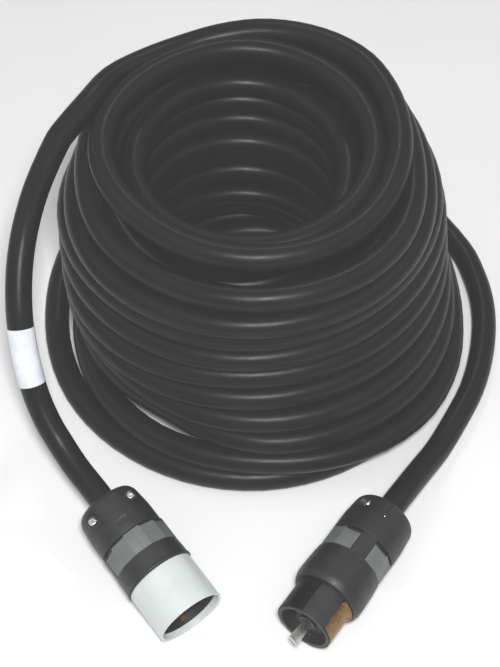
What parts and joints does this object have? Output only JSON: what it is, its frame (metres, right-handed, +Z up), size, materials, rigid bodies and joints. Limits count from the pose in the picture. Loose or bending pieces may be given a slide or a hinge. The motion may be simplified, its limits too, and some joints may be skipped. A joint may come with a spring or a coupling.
{
  "type": "shore power cord",
  "caption": "Heavy black power cord laid in a tall coil, with a white shrouded locking connector on one end and a locking plug with brass side contacts on the other.",
  "frame": {"origin": "on the floor, midway between the connector and the plug (bottom centre of the two fittings' box)", "axes": "+Z up from the floor, +Y from the fittings towards the coil, +X from the connector towards the plug"},
  "size_m": [0.4808, 0.6284, 0.271],
  "materials": {
    "cable_jacket": "black thermoset rubber jacket, satin with a soft sheen",
    "label": "blank silver-white wrap label",
    "housing_black": "black moulded nylon, fine texture",
    "grip_grey": "grey moulded grip, fluted",
    "shroud_white": "white moulded plastic, satin gloss",
    "insulator": "black thermoset insulator",
    "zinc_plate": "zinc plated steel",
    "brass_contact": "brass, slightly toned",
    "wire_black": "black conductor insulation",
    "wire_red": "red conductor insulation",
    "wire_white": "white conductor insulation",
    "wire_green": "green conductor insulation"
  },
  "bodies": {
    "root": {"cable_coil": "cable_jacket", "cable_lead_connector": "cable_jacket", "cable_lead_plug": "cable_jacket", "conn_assembly_screw_a": "zinc_plate", "conn_assembly_screw_b": "zinc_plate", "conn_body": "housing_black", "conn_carrier": "insulator", "conn_conductor_g": "wire_green", "conn_conductor_w": "wire_white", "conn_conductor_x": "wire_black", "conn_conductor_y": "wire_red", "conn_contact_w": "brass_contact", "conn_contact_x": "brass_contact", "conn_contact_y": "brass_contact", "conn_grip_pad_a": "grip_grey", "conn_grip_pad_b": "grip_grey", "conn_ground_socket": "brass_contact", "conn_housing": "housing_black", "conn_jacket_end": "cable_jacket", "conn_shroud": "shroud_white", "conn_terminal_screw_g": "zinc_plate", "conn_terminal_screw_w": "zinc_plate", "conn_terminal_screw_x": "zinc_plate", "conn_terminal_screw_y": "zinc_plate", "label_sleeve": "label", "plug_assembly_screw_a": "zinc_plate", "plug_assembly_screw_b": "zinc_plate", "plug_body": "housing_black", "plug_carrier": "insulator", "plug_conductor_g": "wire_green", "plug_conductor_w": "wire_white", "plug_conductor_x": "wire_black", "plug_conductor_y": "wire_red", "plug_contact_w": "brass_contact", "plug_contact_x": "brass_contact", "plug_contact_y": "brass_contact", "plug_grip_pad_a": "grip_grey", "plug_grip_pad_b": "grip_grey", "plug_ground_blade": "zinc_plate", "plug_housing": "housing_black", "plug_jacket_end": "cable_jacket", "plug_nose": "insulator", "plug_terminal_screw_g": "zinc_plate", "plug_terminal_screw_w": "zinc_plate", "plug_terminal_screw_x": "zinc_plate", "plug_terminal_screw_y": "zinc_plate"},
    "conn_jaw": {"conn_clamp_jaw": "housing_black"},
    "conn_screw_a": {"conn_clamp_screw_a": "zinc_plate"},
    "conn_screw_b": {"conn_clamp_screw_b": "zinc_plate"},
    "plug_jaw": {"plug_clamp_jaw": "housing_black"},
    "plug_screw_a": {"plug_clamp_screw_a": "zinc_plate"},
    "plug_screw_b": {"plug_clamp_screw_b": "zinc_plate"}
  },
  "joints": [
    {"name": "conn_jaw_slide", "type": "slide", "parent": "root", "child": "conn_jaw", "axis": [-0.0304, -0.2178, 0.9755], "range_m": [0, 0.0032]},
    {"name": "conn_screw_a_turn", "type": "hinge", "parent": "conn_jaw", "child": "conn_screw_a", "pos_m": [-0.10763, 0.05638, 0.07312], "axis": [-0.0304, -0.2178, 0.9755], "range_deg": [0, 1440]},
    {"name": "conn_screw_b_turn", "type": "hinge", "parent": "conn_jaw", "child": "conn_screw_b", "pos_m": [-0.14089, 0.03224, 0.06669], "axis": [-0.0304, -0.2178, 0.9755], "range_deg": [0, 1440]},
    {"name": "plug_jaw_slide", "type": "slide", "parent": "root", "child": "plug_jaw", "axis": [-0.7998, 0.5415, 0.2588], "range_m": [0, 0.0032]},
    {"name": "plug_screw_a_turn", "type": "hinge", "parent": "plug_jaw", "child": "plug_screw_a", "pos_m": [0.11337, 0.05547, 0.05968], "axis": [-0.7998, 0.5415, 0.2588], "range_deg": [0, 1440]},
    {"name": "plug_screw_b_turn", "type": "hinge", "parent": "plug_jaw", "child": "plug_screw_b", "pos_m": [0.10446, 0.0615, 0.0195], "axis": [-0.7998, 0.5415, 0.2588], "range_deg": [0, 1440]}
  ],
  "couplings": [
    {"joint": "conn_screw_a_turn", "follows": "conn_jaw_slide", "rad_per_m": 7854},
    {"joint": "conn_screw_b_turn", "follows": "conn_jaw_slide", "rad_per_m": 7854},
    {"joint": "plug_screw_a_turn", "follows": "plug_jaw_slide", "rad_per_m": 7854},
    {"joint": "plug_screw_b_turn", "follows": "plug_jaw_slide", "rad_per_m": 7854}
  ]
}
